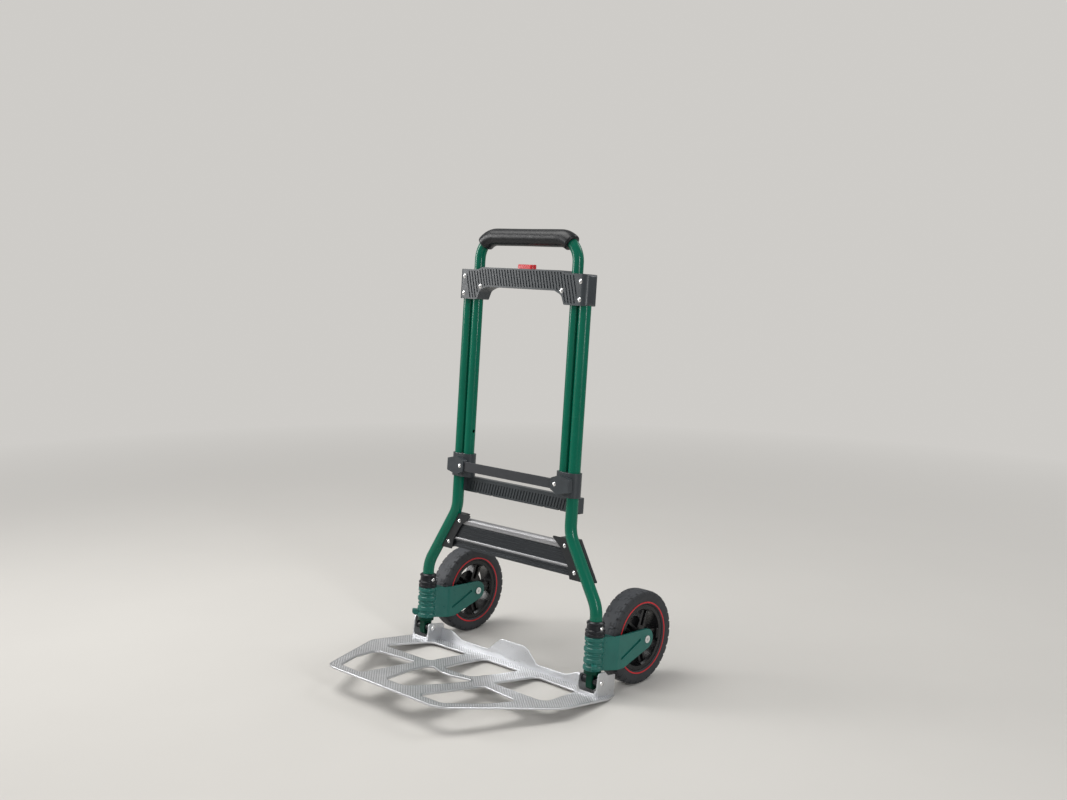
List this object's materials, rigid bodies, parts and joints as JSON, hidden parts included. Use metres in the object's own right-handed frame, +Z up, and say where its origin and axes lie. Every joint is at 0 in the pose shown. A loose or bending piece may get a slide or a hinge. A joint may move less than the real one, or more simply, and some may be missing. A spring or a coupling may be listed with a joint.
{
  "type": "folding sack truck",
  "caption": "Folding two-wheeled hand truck with a telescoping green handle, an openwork aluminium toe plate and swing-in wheels.",
  "frame": {"origin": "on the floor, on the centre plane, midway between the toe plate's front edge and the back of the tyres", "axes": "+X to the right of someone facing the truck's front from behind it, -Y the way the toe plate points, +Z up from the floor; the tubes lean back by 4.5 degrees"},
  "size_m": [0.498, 0.5036, 0.812],
  "materials": {
    "green_paint": "gloss",
    "green_plastic": "satin",
    "dark_green_plastic": "satin",
    "charcoal_plastic": "matte",
    "black_plastic": "satin",
    "black_anodised": "satin",
    "red_plastic": "gloss",
    "lock_plastic": "satin",
    "spring_steel": "satin",
    "bright_steel": "bright",
    "foam": "foam",
    "plate_aluminium": "ribbed, bright edges",
    "tyre_rubber": "matte",
    "stripe_red": "matte"
  },
  "bodies": {
    "frame": {"frame_tube_left": "green_paint", "frame_tube_right": "green_paint", "bridge_front_shell": "charcoal_plastic", "bridge_rear_shell": "charcoal_plastic", "bridge_rivets": "bright_steel", "bridge_screws": "bright_steel", "lock_spring": "spring_steel", "cross_member": "charcoal_plastic", "cross_member_screws": "bright_steel", "panel": "black_anodised", "panel_cap_left": "charcoal_plastic", "panel_cap_right": "charcoal_plastic", "panel_rivets": "bright_steel", "collar_left": "black_plastic", "collar_right": "black_plastic", "collar_rivets": "bright_steel", "foot_block_left": "dark_green_plastic", "foot_block_right": "dark_green_plastic", "hinge_bushes": "black_plastic"},
    "handle": {"handle_tube": "green_paint", "foam_grip": "foam", "slider_bracket_left": "charcoal_plastic", "slider_bracket_right": "charcoal_plastic", "slider_cap_left": "charcoal_plastic", "slider_cap_right": "charcoal_plastic", "slider_bar": "black_anodised", "slider_rivets": "bright_steel"},
    "button": {"release_button": "red_plastic"},
    "lock_left": {"lock_slide_left": "lock_plastic"},
    "lock_right": {"lock_slide_right": "lock_plastic"},
    "toe_plate": {"toe_plate": "plate_aluminium", "hinge_pins": "bright_steel"},
    "arm_left": {"wheel_arm_left": "green_plastic", "axle_left": "bright_steel"},
    "arm_right": {"wheel_arm_right": "green_plastic", "axle_right": "bright_steel"},
    "wheel_left": {"rim_left": "black_plastic", "tyre_left": "tyre_rubber", "tyre_stripe_left": "stripe_red"},
    "wheel_right": {"rim_right": "black_plastic", "tyre_right": "tyre_rubber", "tyre_stripe_right": "stripe_red"}
  },
  "joints": [
    {"name": "handle_slide", "type": "slide", "parent": "frame", "child": "handle", "axis": [0, 0.0785, 0.9969], "range_m": [0, 0.29]},
    {"name": "button_press", "type": "slide", "parent": "frame", "child": "button", "axis": [0, -0.0785, -0.9969], "range_m": [0, 0.005], "stiffness_N_per_m": 900, "springref_m": -0.004},
    {"name": "lock_left_slide", "type": "slide", "parent": "frame", "child": "lock_left", "axis": [1, 0, 0], "range_m": [0, 0.005]},
    {"name": "lock_right_slide", "type": "slide", "parent": "frame", "child": "lock_right", "axis": [-1, 0, 0], "range_m": [0, 0.005]},
    {"name": "toe_plate_fold", "type": "hinge", "parent": "frame", "child": "toe_plate", "pos_m": [0, 0.04927, 0.03208], "axis": [-1, 0, 0], "range_deg": [0, 86.5]},
    {"name": "arm_left_fold", "type": "hinge", "parent": "frame", "child": "arm_left", "pos_m": [-0.215, 0.05303, 0.07975], "axis": [0, -0.0785, -0.9969], "range_deg": [0, 84]},
    {"name": "arm_right_fold", "type": "hinge", "parent": "frame", "child": "arm_right", "pos_m": [0.215, 0.05303, 0.07975], "axis": [0, 0.0785, 0.9969], "range_deg": [0, 84]},
    {"name": "wheel_left_spin", "type": "hinge", "parent": "arm_left", "child": "wheel_left", "pos_m": [-0.215, 0.16679, 0.085], "axis": [1, 0, 0], "continuous": true},
    {"name": "wheel_right_spin", "type": "hinge", "parent": "arm_right", "child": "wheel_right", "pos_m": [0.215, 0.16679, 0.085], "axis": [1, 0, 0], "continuous": true}
  ],
  "couplings": [
    {"joint": "lock_left_slide", "follows": "button_press", "ratio": 1},
    {"joint": "lock_right_slide", "follows": "button_press", "ratio": 1},
    {"joint": "arm_left_fold", "follows": "toe_plate_fold", "ratio": 0.97},
    {"joint": "arm_right_fold", "follows": "toe_plate_fold", "ratio": 0.97}
  ]
}
